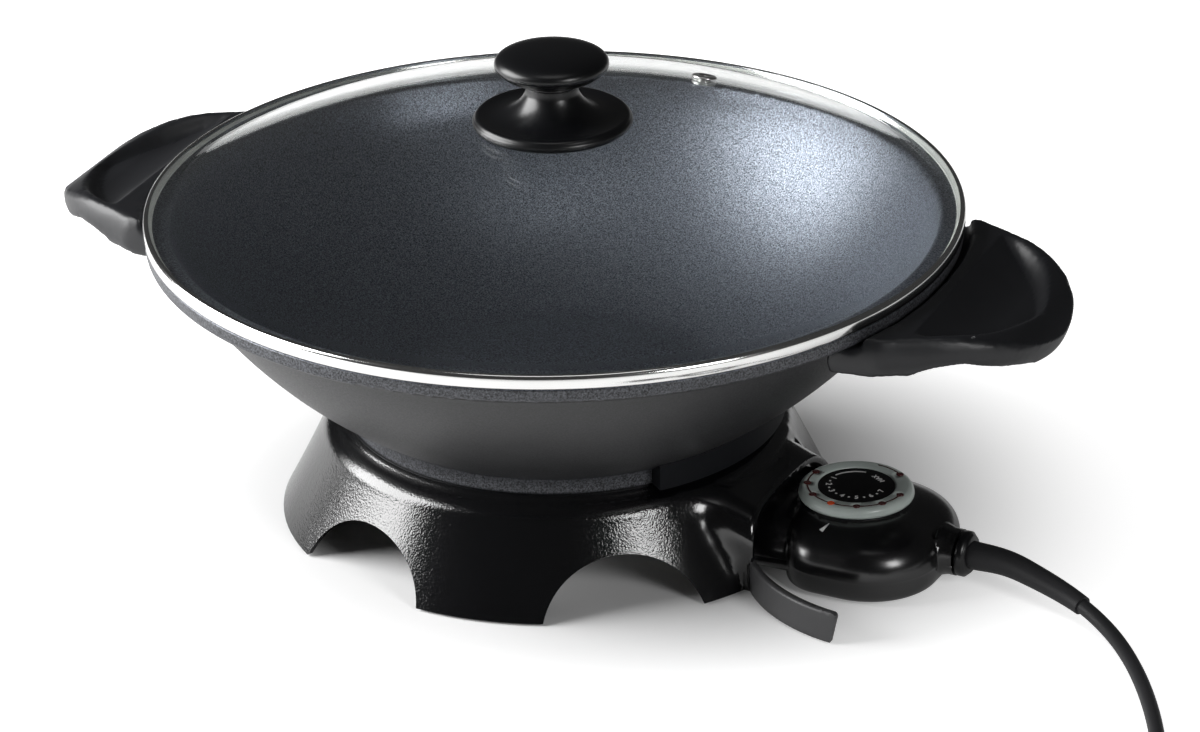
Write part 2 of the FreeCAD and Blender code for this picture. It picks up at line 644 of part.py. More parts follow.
def nose_bar(inset, start, end):
    """Straight bar with the nose's rounded section."""
    half = NOSE_HALF - inset
    edges = []
    for rise, power, sign in ((NOSE_RISE - inset, 2.6, 1.0), (NOSE_DROP - inset, 4.0, -1.0)):
        spots = []
        for i in range(13):
            angle = math.radians(15.0 * i)
            across_part = math.cos(angle)
            wide = math.copysign(abs(across_part) ** (2.0 / power), across_part)
            high = abs(math.sin(angle)) ** (2.0 / power)
            spots.append(vec(start, sign * half * wide, BODY_SEAM + sign * rise * high))
        spots[0].z = BODY_SEAM
        spots[-1].z = BODY_SEAM
        curve = Part.BSplineCurve()
        curve.interpolate(spots)
        edges.append(curve.toShape())
    return Part.Face(Part.Wire(edges)).extrude(vec(end - start, 0))


def control_housing_upper():
    """Domed shell with the nose's roof, the round seat under the dial and half the neck."""
    above = block((NOSE_U - 40.0, -60.0, BODY_SEAM), (BODY_END + 40.0, 60.0, 60.0))
    seat = rod(DIAL_R - 0.6, (DIAL_U, 0, BODY_SEAM), (DIAL_U, 0, BODY_DECK))
    shell = joined([body_dome(), nose_bar(0.0, NOSE_U, DIAL_U).common(above), seat, neck().common(above)])
    hollow = nose_bar(BODY_WALL, NOSE_U + BODY_WALL, DIAL_U).common(above)
    shell = shell.cut(body_dome(BODY_WALL)).cut(hollow)
    shell = shell.cut(rod(SPINDLE_R + RUNNING, (DIAL_U, 0, 20.0), (DIAL_U, 0, 40.0)))
    return cut_connector(shell)


def control_housing_lower():
    """Bowl-shaped shell with the nose's floor, the screw posts and half the neck."""
    below = block((NOSE_U - 40.0, -60.0, 0.0), (BODY_END + 40.0, 60.0, BODY_SEAM))
    shell = joined([body_bowl(), nose_bar(0.0, NOSE_U, DIAL_U).common(below), neck().common(below)])
    hollow = nose_bar(BODY_WALL, NOSE_U + BODY_WALL, DIAL_U).common(below)
    shell = shell.cut(body_bowl(BODY_WALL)).cut(hollow)
    posts = [rod(3.4, (u, v, BODY_BOTTOM + 1), (u, v, BODY_SEAM)) for u, v in POSTS]
    shell = joined([shell] + posts)
    for u, v in POSTS:
        shell = shell.cut(rod(1.7, (u, v, BODY_BOTTOM - 1), (u, v, BODY_SEAM + 1)))
    return cut_connector(shell)


def neck():
    """Round neck where the lead leaves."""
    flare = Part.makeCone(11.6, 10.0, 5.0, vec(BODY_END - 3.0, 0, EXIT_Z), vec(1, 0))
    return rod(10.0, (BODY_END - 12.0, 0, EXIT_Z), (CORD_START - 5.5, 0, EXIT_Z)).fuse(flare)


def cut_connector(shell):
    """Opens the nose for the contact block and the neck for the bushing."""
    mouth = block((NOSE_U - 5.0, -CONTACT_HALF, BODY_SEAM), (NOSE_U + 10.0, CONTACT_HALF, CONTACT_TOP))
    return shell.cut(mouth).cut(rod(6.1, (BODY_END - 20.0, 0, EXIT_Z), (CORD_START, 0, EXIT_Z)))


def contact_block():
    """Moulded block in the nose's mouth with the two contact bores."""
    start = NOSE_U - 2.0
    end = NOSE_U + 12.0
    core = block((start, -CONTACT_HALF, BODY_SEAM), (end, CONTACT_HALF, CONTACT_TOP))
    core = core.makeFillet(2.0, [e for e in core.Edges if e.BoundBox.XLength > 10])
    for v in (-PIN_PITCH / 2, PIN_PITCH / 2):
        core = core.cut(rod(4.0, (start - 1, v, PROBE_Z), (end + 1, v, PROBE_Z)))
    return core.cut(rod(PROBE_R, (start - 1, 0, PROBE_Z), (end + 1, 0, PROBE_Z)))


def contact_sleeves():
    """Sprung sleeves that slide over the outer half of the pan's terminal pins."""
    start = (PLATE_U + PLATE_THICK + PIN_END) / 2.0
    return Part.makeCompound([
        tube(4.0, PIN_R + RUNNING, (start, v, PROBE_Z), (NOSE_U + 14.0, v, PROBE_Z))
        for v in (-PIN_PITCH / 2, PIN_PITCH / 2)])


def probe_rod():
    probe = rod(PROBE_R, (PROBE_TIP, 0, PROBE_Z), (NOSE_U + 16.0, 0, PROBE_Z))
    return probe.makeFillet(1.6, [e for e in probe.Edges if e.BoundBox.XMax < PROBE_TIP + 1])


def thermostat():
    """Switch block under the dial that takes the probe and the spindle."""
    core = block((NOSE_U + 16.0, -11.0, 15.0), (DIAL_U + 12.0, 11.0, 24.0))
    core = core.cut(rod(SPINDLE_R + RUNNING, (DIAL_U, 0, 19.0), (DIAL_U, 0, 30.0)))
    return core.makeFillet(1.5, [e for e in core.Edges if e.BoundBox.ZLength > 8 and e.BoundBox.XLength < 1])


def cord_bushing():
    """Flanged plastic bushing in the neck, with a groove behind its flange."""
    start = CORD_START - 19.5
    bore = CORD_D / 2 + 0.05
    return turned_along_x(
        (4.0, start), (6.0, start), (6.0, CORD_START - 4.7), (9.4, CORD_START - 4.7),
        (9.8, CORD_START - 4.1), (9.8, CORD_START - 1.9), (8.0, CORD_START),
        (bore, CORD_START), (bore, start))


def turned_along_x(*points):
    """Solid of revolution about the lead's exit axis; points are radius and place along +X."""
    face = Part.Face(Part.Wire(Part.makePolygon([vec(u, 0, EXIT_Z + r) for r, u in points + points[:1]])))
    return face.revolve(vec(0, 0, EXIT_Z), vec(1, 0), 360)


def housing_screws():
    screws = []
    for u, v in POSTS:
        head = rod(2.8, (u, v, BODY_BOTTOM - 0.6), (u, v, BODY_BOTTOM))
        shank = rod(1.5, (u, v, BODY_BOTTOM), (u, v, BODY_SEAM - 0.5))
        screws.append(head.fuse(shank))
    return Part.makeCompound(screws)


# ---------------------------------------------------------------- dial

def dial_ring():
    low = BODY_DECK + DIAL_GAP
    floor = DIAL_TOP - 2.4
    ring = turned(
        (0.0, low), (DIAL_R - 1.2, low), (DIAL_R, low + 0.6, DIAL_R, low + 2.0),
        (DIAL_R - 0.8, DIAL_TOP - 0.8, DIAL_R - 3.0, DIAL_TOP), (DIAL_FACE_R + 0.9, DIAL_TOP),
        (DIAL_FACE_R, DIAL_TOP - 0.6), (DIAL_FACE_R, floor), (0.0, floor), at=(DIAL_U, 0))
    for angle in DOT_ANGLES:
        u, v = dot_place(angle)
        ring = ring.cut(rod(DOT_R, (u, v, DIAL_TOP - 1.2), (u, v, DIAL_TOP + 1.0)))
    return ring.cut(rod(SPINDLE_R, (DIAL_U, 0, low - 1), (DIAL_U, 0, low + 1.6)))


def dot_place(angle):
    """Centre of a lamp dot on the dial."""
    u, v, _ = polar(DOT_RING_R, angle, 0.0)
    return (DIAL_U + u, v)


def dial_dot(angle):
    u, v = dot_place(angle)
    dot = rod(DOT_R, (u, v, DIAL_TOP - 1.2), (u, v, DIAL_TOP + 0.3))
    return dot.makeFillet(0.25, [e for e in dot.Edges if e.BoundBox.ZMin > DIAL_TOP])


def dial_dots():
    return Part.makeCompound([dial_dot(a) for a in DOT_ANGLES if a != LIT_ANGLE])


def dial_face():
    edge = DIAL_FACE_R - 0.1
    return turned((0.0, DIAL_TOP - 2.4), (edge, DIAL_TOP - 2.4), (edge, DIAL_TOP - 0.5),
                  (0.0, DIAL_TOP - 0.3), at=(DIAL_U, 0))


def dial_spindle():
    low = BODY_DECK + DIAL_GAP
    return rod(SPINDLE_R, (DIAL_U, 0, 19.3), (DIAL_U, 0, low + 1.6))


# ---------------------------------------------------------------- lead

def route_path(points):
    """Straight runs joined by tangent arcs; returns the wire and the arcs' radii."""
    spots = [vec(*p) for p in points]
    edges = []
    radii = []
    here = spots[0]
    for before, corner, after in zip(spots, spots[1:], spots[2:]):
        back = (before - corner).normalize()
        on = (after - corner).normalize()
        setback = 0.45 * min(before.distanceToPoint(corner), corner.distanceToPoint(after))
        turn = math.pi - back.getAngle(on)
        radii.append(setback / math.tan(turn / 2.0))
        start = corner + back * setback
        end = corner + on * setback
        towards = (back + on).normalize()
        middle = corner + towards * (radii[-1] / math.cos(turn / 2.0) - radii[-1])
        edges.append(Part.LineSegment(here, start).toShape())
        edges.append(Part.Arc(start, middle, end).toShape())
        here = end
    edges.append(Part.LineSegment(here, spots[-1]).toShape())
    return Part.Wire(edges), radii


def swept(points, radius):
    path, radii = route_path(points)
    along = vec(*points[1]) - vec(*points[0])
    ring = Part.Wire(Part.makeCircle(radius, vec(*points[0]), along))
    return path.makePipeShell([ring], True, True), radii, path.Length


def power_cord():
    cord, radii, length = swept(CORD_ROUTE, CORD_D / 2.0)
    expected = math.pi * (CORD_D / 2.0) ** 2 * length
    print("cord radii", [round(r, 1) for r in radii], "length", round(length, 1))
    print("cord volume / section x length", round(cord.Volume / expected, 4))
    return cord


def strain_relief():
    """Tapered sleeve that follows the lead out of the bushing."""
    path, _ = route_path(CORD_ROUTE)
    outer = []
    steps = 6
    length = 56.0
    for i in range(steps + 1):
        reach = length * i / steps
        spot, along = place_on(path, reach)
        outer.append(Part.Wire(Part.makeCircle(6.1 - 1.9 * i / steps, spot, along)))
    sleeve = Part.makeLoft(outer, True)
    bore, _, _ = swept(CORD_ROUTE[:6], CORD_D / 2.0 + 0.05)
    return sleeve.cut(bore)


def place_on(path, reach):
    """Point and direction at a distance along a wire."""
    left = reach
    for edge in path.Edges:
        if left <= edge.Length:
            at = edge.getParameterByLength(left)
            return edge.valueAt(at), edge.tangentAt(at)
        left -= edge.Length
    last = path.Edges[-1]
    return last.valueAt(last.LastParameter), last.tangentAt(last.LastParameter)


def coil_frame():
    """Coil centre and the lead's heading where it joins the outer turn."""
    end = vec(*CORD_ROUTE[-1])
    heading = (end - vec(*CORD_ROUTE[-2])).normalize()
    right = vec(heading.y, -heading.x)
    return end, heading, right


def coil_centre():
    end, heading, right = coil_frame()
    centre = end + heading * STUB + right * (COIL_R + CORD_D / 2.0)
    return vec(centre.x, centre.y)


def tail_line():
    """Start of the lead's far end on the coil and its direction."""
    angle = math.radians(COIL_EXIT)
    outer_turn = COIL_R + CORD_D / 2.0
    start = coil_centre() + vec(math.cos(angle), math.sin(angle)) * outer_turn
    start.z = CORD_Z + CORD_D
    slope = math.radians(PLUG_TAPER)
    along = vec(math.sin(angle) * math.cos(slope), -math.cos(angle) * math.cos(slope), math.sin(slope))
    return start, along


def cord_coil():
    """Outer shape of the stored turns, two side by side and two high, with the stubs at its ends."""
    end, heading, _ = coil_frame()
    centre = coil_centre()
    low = CORD_Z - CORD_D / 2.0
    high = low + 2.0 * CORD_D
    half = CORD_D / 2.0
    nib = half * (1.0 - math.sqrt(0.5))
    inner = COIL_R - CORD_D
    outer = COIL_R + CORD_D
    ring = turned(
        (inner, low + half), (inner + nib, low + nib, inner + half, low), (outer - half, low),
        (outer - nib, low + nib, outer, low + half), (outer, high - half),
        (outer - nib, high - nib, outer - half, high), (inner + half, high),
        (inner + nib, high - nib, inner, high - half), at=(centre.x, centre.y))
    stub = rod(half, tuple(end), tuple(end + heading * STUB))
    start, along = tail_line()
    tail = rod(half, tuple(start), tuple(start + along * TAIL))
    print("coil centre", centre, "far end", start + along * TAIL)
    return joined([ring, stub, tail])


def on_tail(shape):
    """Moves a shape made along +Z from the origin onto the lead's far end."""
    start, along = tail_line()
    placed = shape.copy()
    placed.Placement = FreeCAD.Placement(start + along * TAIL, FreeCAD.Rotation(TOP, along))
    return placed


def plug_body():
    """Moulded mains plug: ribbed relief, tapering body, flat face and earth-contact grooves."""
    front = PLUG_RELIEF + PLUG_BODY
    back_r = PLUG_R - PLUG_BODY * math.tan(math.radians(PLUG_TAPER))
    body = turned(
        (0.0, 0.0), (CORD_D / 2.0 + 0.9, 0.0), (5.6, PLUG_RELIEF - 4.0),
        (8.6, PLUG_RELIEF - 0.5, back_r, PLUG_RELIEF), (PLUG_R, front - 0.8),
        (PLUG_R - 0.3, front - 0.2, PLUG_R - 1.0, front), (0.0, front))
    for low, high in ((-20.0, -EARTH_R), (EARTH_R, 20.0)):
        body = body.cut(block((low, -3.2, front - 17.0), (high, 3.2, front + 1.0)))
    for i in range(3):
        at = 4.0 + 5.0 * i
        body = body.cut(tube(9.0, 4.4 + 0.1 * i, (0, 0, at), (0, 0, at + 1.6)))
    for v in (-PLUG_PIN_V, PLUG_PIN_V):
        body = body.cut(rod(PLUG_PIN_R, (0, v, front - 6.0), (0, v, front + 1.0)))
    return on_tail(body)


def plug_pins():
    front = PLUG_RELIEF + PLUG_BODY
    pins = []
    for v in (-PLUG_PIN_V, PLUG_PIN_V):
        pin = rod(PLUG_PIN_R, (0, v, front - 6.0), (0, v, front + 19.0))
        pins.append(pin.makeFillet(1.6, [e for e in pin.Edges if e.BoundBox.ZMin > front + 18.5]))
    return on_tail(Part.makeCompound(pins))


def plug_earth_strips():
    front = PLUG_RELIEF + PLUG_BODY
    strips = [block((low, -2.4, front - 16.0), (low + 1.0, 2.4, front - 0.5))
              for low in (-EARTH_R - 1.0, EARTH_R)]
    return on_tail(Part.makeCompound(strips))


def write_node(name, shape):
    shape.exportStep(os.path.join("parts", name + ".step"))
    box = shape.BoundBox
    print(f"{name:24s} valid {shape.isValid()} solids {len(shape.Solids)} volume {shape.Volume:10.0f} "
          f"x {box.XMin:7.1f} {box.XMax:7.1f} y {box.YMin:7.1f} {box.YMax:7.1f} "
          f"z {box.ZMin:6.1f} {box.ZMax:6.1f}")


def main():
    os.makedirs("parts", exist_ok=True)
    grip = handle()
    nodes = {
        "base_shell": base_shell(),
        "rubber_feet": rubber_feet(),
        "base_screws": base_screws(),
        "wok_pan": wok_pan(),
        "heating_element": heating_element(),
        "terminal_pins": terminal_pins(),
        "terminal_plate": terminal_plate(),
        "terminal_cover": terminal_cover(),
        "handle_right": around(grip, HANDLE_ANGLE),
        "handle_left": around(grip, HANDLE_ANGLE + 180.0),
        "handle_bolts": handle_bolts(),
        "lid_glass": lid_glass(),
        "lid_rim": lid_rim(),
        "rim_gasket": rim_gasket(),
        "vent_eyelet": vent_eyelet(),
        "knob_seat": knob_seat(),
        "knob_collar": knob_collar(),
        "knob_base": knob_base(),
        "knob_cap": knob_cap(),
        "knob_washer": knob_washer(),
        "knob_screw": knob_screw(),
        "control_housing_upper": control_housing_upper(),
        "control_housing_lower": control_housing_lower(),
        "contact_block": contact_block(),
        "contact_sleeves": contact_sleeves(),
        "probe_rod": probe_rod(),
        "thermostat": thermostat(),
        "cord_bushing": cord_bushing(),
        "housing_screws": housing_screws(),
        "dial_ring": dial_ring(),
        "dial_face": dial_face(),
        "dial_dots": dial_dots(),
        "dial_dot_lit": dial_dot(LIT_ANGLE),
        "dial_spindle": dial_spindle(),
        "strain_relief": strain_relief(),
        "power_cord": power_cord(),
        "cord_coil": cord_coil(),
        "plug_body": plug_body(),
        "plug_pins": plug_pins(),
        "plug_earth_strips": plug_earth_strips(),
    }
    for name, shape in nodes.items():
        write_node(name, shape)


main()
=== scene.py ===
"""Electric wok with a glass lid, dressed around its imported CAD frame. Metres throughout."""
import json
import math

import bmesh
import bpy
from mathutils import Matrix, Vector
from mathutils.bvhtree import BVHTree


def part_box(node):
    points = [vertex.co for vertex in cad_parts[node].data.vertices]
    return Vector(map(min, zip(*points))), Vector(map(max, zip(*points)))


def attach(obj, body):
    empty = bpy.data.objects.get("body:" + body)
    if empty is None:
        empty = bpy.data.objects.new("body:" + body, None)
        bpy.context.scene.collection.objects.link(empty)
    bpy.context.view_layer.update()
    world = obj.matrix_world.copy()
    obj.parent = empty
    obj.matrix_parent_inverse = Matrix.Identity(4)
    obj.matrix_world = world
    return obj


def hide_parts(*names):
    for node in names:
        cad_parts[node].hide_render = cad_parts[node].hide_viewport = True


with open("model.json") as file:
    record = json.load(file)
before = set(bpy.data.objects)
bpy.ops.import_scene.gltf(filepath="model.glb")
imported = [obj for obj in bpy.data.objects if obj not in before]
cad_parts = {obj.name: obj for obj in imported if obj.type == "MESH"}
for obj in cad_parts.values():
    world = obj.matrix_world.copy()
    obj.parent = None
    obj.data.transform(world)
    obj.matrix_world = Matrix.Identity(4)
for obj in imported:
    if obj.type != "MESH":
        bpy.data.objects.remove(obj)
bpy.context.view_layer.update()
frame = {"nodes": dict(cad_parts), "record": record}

TAU = math.tau
WELD = 2e-6              # points of a CAD mesh closer than this are one point
CUT_ROUNDS = 8
OVER_ALL = 0.2           # a height above every spot that is looked for from above

# Base: the corner where the hood's sides run into the flared wall, and the matt guard strip, whose grey is
# a painted reflection of the white floor
BASE_MESH = 0.003
CORNER_X = (0.084, 0.1095)
CORNER_FOOT = 0.003
CORNER_NEAR = (-0.064, -0.037)
CORNER_FAR = (0.03, 0.052)
CORNER_ROUNDS = 30
# box of the guard strip; its faces get a grey that is a painted reflection of the white floor
STRIP_FRONT = 0.1145
STRIP_SIDE = -0.0435
STRIP_TOP = 0.0148
GRAIN_END = (0.086, 0.094)       # the grain fades out between these, towards the hood

# Pan
PAN_FLOOR = 0.056
FLOOR_MARGIN = 0.0005
BAND_LOW = 0.0465
BAND_HIGH = 0.0532
FLANGE_EDGE = 0.1285
FLAT_UP = 0.7            # a face whose normal points up more than this belongs to the inside

# Handles
HANDLE_MESH = 0.0022
HANDLE_ROUNDS = 9

# Knob
KNOB_INSET = 0.00002
KNOB_SEAM = 0.0018       # height of the rolled seam
SEAM_ROUND = (0.0009, 0.0002, 0.0008)    # its lower corner: in at the foot, in and up at the middle
KNOB_FULLNESS = 0.8      # under 1 makes the dome fuller than an ellipse
KNOB_STEPS = 28

# Lid: glass, steel band and the packing between them
RIM_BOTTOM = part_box("lid_rim")[0].z
GLASS_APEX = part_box("lid_glass")[1].z
GLASS_EDGE_R = 0.1740
GLASS_CHORD_R = 0.1697
GLASS_THICK = 0.0038
GLASS_HOLE_R = 0.0033
GLASS_INSET = 0.0006
GLASS_STEPS = 36
RIM_INSIDE_R = 0.1705
RIM_SHEET = 0.0008
RIM_LIP = 0.0024
RIM_ROUND = 0.0014       # how far the band's rounded corners reach
RIM_CUT = 0.0004         # how far the middle of a rounded corner stays from the square one
RIM_TOP_ROUND = 0.0016
RIM_TOP_CUT = 0.0005
RIM_LIP_DROP = 0.0002
RIM_GAP = 0.0001
PACKING_INSIDE_R = 0.1707
PACKING_GAP = 0.00003
PACKING_INSET = 0.0002
BRIM_RISE = 0.0052
BRIM_TOP = RIM_BOTTOM + BRIM_RISE

# Dial and its print
DIAL_X = 0.142
FACE_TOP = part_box("dial_face")[1].z
LAMP_RING_R = 0.0208
LAMP_ANGLES = [-190.0 + 31.1 * i for i in range(7)]
LAMP_FAR_ARC = (52.0, 88.0)
LAMP_LINE_HALF = 0.00035
LAMP_LINE_HEIGHT = 0.0003
LAMP_LINE_SUNK = 0.0002
LAMP_LINE_AT = -80.0     # where the ring's height is taken
FIGURE_R = 0.0118
FIGURE_SIZE = 0.0037
WORD_R = 0.0112
WORD_SIZE = 0.0032
WORD_ANGLE = 58.0
TICK_RADII = (0.0114, 0.0122)
TICK_ARC = (13.5, 17.6)
SWEEP_RADII = (0.0125, 0.0131)
SWEEP_ARC = (96.0, 158.0)
PRINT_GAP = 0.00002
BAR_SUNK = 0.0001
BAR_HEIGHT = 0.00014
ARC_STEP = 4.0           # degrees of an arc that one facet covers
QUARTER = 90.0           # turns the tops of the figures to the dial's middle
PRINT_HALF = 0.00004     # half the thickness of a figure
PRINT_BOLD = 0.00009     # how far a figure's outline is pushed out

# Pointer on the control's housing
POINTER_X = 0.1403
POINTER_Y = -0.0293
POINTER_HEIGHT = 0.0003
POINTER_SUNK = 0.00012

# Lead, as the CAD has it
CORD_D = 0.0064
CORD_Z = 0.0033
CORD_EXIT = (0.1955, 0.0, 0.0143)
CORD_ROUTE = [
    CORD_EXIT, (0.2120, 0.0, 0.0143), (0.2310, -0.0042, 0.0112), (0.2490, -0.0093, 0.0074),
    (0.2660, -0.0202, 0.0042), (0.2810, -0.0365, CORD_Z), (0.2960, -0.0580, CORD_Z),
    (0.3110, -0.0840, CORD_Z), (0.3240, -0.1120, CORD_Z), (0.3320, -0.1405, CORD_Z),
]
COIL_R = 0.035
COIL_STUB = 0.024
COIL_EXIT = -62.0
COIL_TAIL = 0.028
COIL_WHOLE_TURNS = 3     # and a part turn up to COIL_EXIT
COIL_STEP = 18.0         # degrees between guide points
PLUG_TAPER = 5.6

# Where the turns shift, and over how far, in degrees along them
SHIFT_IN = (270.0, 70.0)
SHIFT_UP = (570.0, 70.0)
SHIFT_OUT = (880.0, 60.0)

# Stage
FLOOR_R = 6.0
FLOOR_SIDES = 96
FLOOR_GAP = 0.0002
FLOOR_COLOUR = 0.86
GLOW_START = 0.1         # nearer than this the floor doesn't glow, so the shadow under the part stays
GLOW_FULL = 0.26
GLOW_LEVEL = 0.8
GLOW_MIRRORED = 0.3
WORLD_LEVEL = 0.04
LAMP_AIM = Vector((0.0, 0.0, 0.07))

CAMERA_PLACE = Vector((0.9187, -1.7278, 0.9827))
CAMERA_RIGHT = Vector((0.89033, 0.45508, -0.01447))
CAMERA_UP = Vector((-0.18207, 0.38498, 0.90479))
CAMERA_BACK = Vector((0.41732, -0.80293, 0.42561))
CAMERA_LENS = 150.0
CAMERA_SENSOR = 36.0
CAMERA_REACH = 30.0


def into_scene(name, data):
    thing = bpy.data.objects.new(name, data)
    bpy.context.scene.collection.objects.link(thing)
    return thing


# ---------------------------------------------------------------- materials

def new_material(name):
    material = bpy.data.materials.new(name)
    material.use_nodes = True
    nodes = material.node_tree.nodes
    links = material.node_tree.links
    shader = nodes["Principled BSDF"]
    return material, nodes, links, shader


def object_noise(nodes, links, scale, detail=3.0, rough=0.6):
    place = nodes.new("ShaderNodeTexCoord")
    noise = nodes.new("ShaderNodeTexNoise")
    noise.inputs["Scale"].default_value = scale
    noise.inputs["Detail"].default_value = detail
    noise.inputs["Roughness"].default_value = rough
    links.new(place.outputs["Object"], noise.inputs["Vector"])
    return noise


def tint_between(nodes, links, shader, noise, low_colour, high_colour, low=0.3, high=0.7):
    """Lets a noise drive the base colour from one colour to another."""
    ramp = nodes.new("ShaderNodeValToRGB")
    ramp.color_ramp.elements[0].position = low
    ramp.color_ramp.elements[0].color = (*low_colour, 1.0)
    ramp.color_ramp.elements[1].position = high
    ramp.color_ramp.elements[1].color = (*high_colour, 1.0)
    links.new(noise.outputs["Fac"], ramp.inputs["Fac"])
    links.new(ramp.outputs["Color"], shader.inputs["Base Color"])


def bump_from(nodes, links, shader, noise, distance, strength=1.0):
    """Lets a noise raise the surface."""
    bump = nodes.new("ShaderNodeBump")
    bump.inputs["Strength"].default_value = strength
    bump.inputs["Distance"].default_value = distance
    links.new(noise.outputs["Fac"], bump.inputs["Height"])
    links.new(bump.outputs["Normal"], shader.inputs["Normal"])
    return bump


def map_range(nodes, source_range, target_range):
    node = nodes.new("ShaderNodeMapRange")
    node.inputs["From Min"].default_value, node.inputs["From Max"].default_value = source_range
    node.inputs["To Min"].default_value, node.inputs["To Max"].default_value = target_range
    return node


def surface(name, colour, roughness, grain=0.0, scale=900.0, metallic=0.0, coat=0.0, vary=0.12,
            specular=0.5):
    """Plain finish: one colour with a slight mottle, and a fine grain in its surface."""
    material, nodes, links, shader = new_material(name)
    shader.inputs["Roughness"].default_value = roughness
    shader.inputs["Metallic"].default_value = metallic
    shader.inputs["Coat Weight"].default_value = coat
    shader.inputs["Coat Roughness"].default_value = 0.06
    shader.inputs["Specular IOR Level"].default_value = specular
    mottle = object_noise(nodes, links, 35.0)
    darker = tuple(c * (1.0 - vary) for c in colour)
    lighter = tuple(min(1.0, c * (1.0 + vary)) for c in colour)
    tint_between(nodes, links, shader, mottle, darker, lighter)
    if grain > 0.0:
        fine = object_noise(nodes, links, scale, 2.0)
        bump_from(nodes, links, shader, fine, 0.0002, grain)
    return material


def nonstick_coating(name, low_colour, high_colour, metallic, roughness, sparkle, fineness):
    """Speckled non-stick coating: fine flakes that vary in colour, gloss and lie."""
    material, nodes, links, shader = new_material(name)
    shader.inputs["Metallic"].default_value = metallic
    flakes = object_noise(nodes, links, fineness, 2.0, 0.7)
    tint_between(nodes, links, shader, flakes, low_colour, high_colour, 0.36, 0.68)
    gloss = map_range(nodes, (0.3, 0.7), (roughness + 0.05, roughness - 0.05))
    links.new(flakes.outputs["Fac"], gloss.inputs["Value"])
    links.new(gloss.outputs["Result"], shader.inputs["Roughness"])
    bump_from(nodes, links, shader, flakes, 0.0003, sparkle)
    return material


def spark_textured_plastic(name):
    """Glossy black moulding with the grain of a spark-eroded mould, which fades out on the hood."""
    material, nodes, links, shader = new_material(name)
    shader.inputs["Specular IOR Level"].default_value = 0.85
    shader.inputs["Roughness"].default_value = 0.15
    mottle = object_noise(nodes, links, 30.0)
    tint_between(nodes, links, shader, mottle, (0.0018, 0.0019, 0.0023), (0.0026, 0.0027, 0.0033))
    place = nodes.new("ShaderNodeTexCoord")
    split = nodes.new("ShaderNodeSeparateXYZ")
    links.new(place.outputs["Object"], split.inputs["Vector"])
    fade = map_range(nodes, GRAIN_END, (0.5, 0.04))
    links.new(split.outputs["X"], fade.inputs["Value"])
    grain = object_noise(nodes, links, 1150.0, 1.0)
    bump = bump_from(nodes, links, shader, grain, 0.00022)
    links.new(fade.outputs["Result"], bump.inputs["Strength"])
    return material


def clear_glass(name):
    """Slightly green tempered glass; the lamps' light goes straight through it to the pan."""
    material, nodes, links, shader = new_material(name)
    shader.inputs["Roughness"].default_value = 0.0
    shader.inputs["Transmission Weight"].default_value = 1.0
    shader.inputs["IOR"].default_value = 1.45
    haze = object_noise(nodes, links, 12.0)
    tint_between(nodes, links, shader, haze, (0.96, 0.985, 0.975), (0.97, 0.99, 0.98))
    rays = nodes.new("ShaderNodeLightPath")
    through = nodes.new("ShaderNodeBsdfTransparent")
    through.inputs["Color"].default_value = (0.92, 0.93, 0.93, 1.0)
    blend = nodes.new("ShaderNodeMixShader")
    links.new(rays.outputs["Is Shadow Ray"], blend.inputs["Fac"])
    links.new(shader.outputs["BSDF"], blend.inputs[1])
    links.new(through.outputs["BSDF"], blend.inputs[2])
    links.new(blend.outputs["Shader"], nodes["Material Output"].inputs["Surface"])
    return material


COATINGS = {
    "coating_inside": dict(
        low_colour=(0.03, 0.0325, 0.041), high_colour=(0.25, 0.267, 0.312),
        metallic=0.95, roughness=0.39, sparkle=0.2, fineness=1600.0),
    "coating_outside": dict(
        low_colour=(0.01, 0.0103, 0.0112), high_colour=(0.026, 0.0265, 0.0285),
        metallic=0.0, roughness=0.42, sparkle=0.12, fineness=1300.0),
    "foot_band": dict(
        low_colour=(0.012, 0.0125, 0.014), high_colour=(0.13, 0.135, 0.15),
        metallic=0.3, roughness=0.45, sparkle=0.5, fineness=1200.0),
}

PLAIN_FINISHES = {
    # matt grey of the guard strip: a painted reflection of the white floor, not the plastic's own colour
    "strip_painted_floor_reflection": dict(colour=(0.05, 0.05, 0.052), roughness=0.45, grain=0.1),
    "phenolic": dict(colour=(0.003, 0.0032, 0.004), roughness=0.3, grain=0.08, scale=700.0),
    "handle_plastic": dict(colour=(0.0085, 0.009, 0.0108), roughness=0.42, grain=0.06, scale=700.0),
    "gloss_black": dict(colour=(0.002, 0.002, 0.0024), roughness=0.24, specular=0.9),
    "dark_cover": dict(colour=(0.006, 0.0065, 0.008), roughness=0.6, specular=0.1),
    "rim_steel": dict(colour=(0.86, 0.86, 0.85), roughness=0.14, metallic=1.0, vary=0.03),
    "plain_steel": dict(colour=(0.6, 0.6, 0.59), roughness=0.3, metallic=1.0, vary=0.05),
    "element_sheath": dict(colour=(0.3, 0.29, 0.27), roughness=0.45, metallic=0.9),
    "nickel": dict(colour=(0.72, 0.71, 0.67), roughness=0.2, metallic=1.0, vary=0.04),
    "brass": dict(colour=(0.66, 0.5, 0.25), roughness=0.28, metallic=1.0, vary=0.06),
    "ceramic": dict(colour=(0.74, 0.71, 0.63), roughness=0.6, grain=0.2),
    "black_rubber": dict(colour=(0.018, 0.018, 0.02), roughness=0.55, grain=0.2, scale=1200.0),
    "grey_rubber": dict(colour=(0.5, 0.5, 0.48), roughness=0.5),
    "dial_grey": dict(colour=(0.5, 0.56, 0.53), roughness=0.3, grain=0.05),
    "dial_black": dict(colour=(0.002, 0.002, 0.0024), roughness=0.3, specular=0.15),
    "dark_red": dict(colour=(0.07, 0.005, 0.004), roughness=0.25, coat=0.4),
    "lamp_orange": dict(colour=(0.9, 0.1, 0.015), roughness=0.25, coat=0.4),
    "white_ink": dict(colour=(0.85, 0.85, 0.84), roughness=0.5, vary=0.02),
}

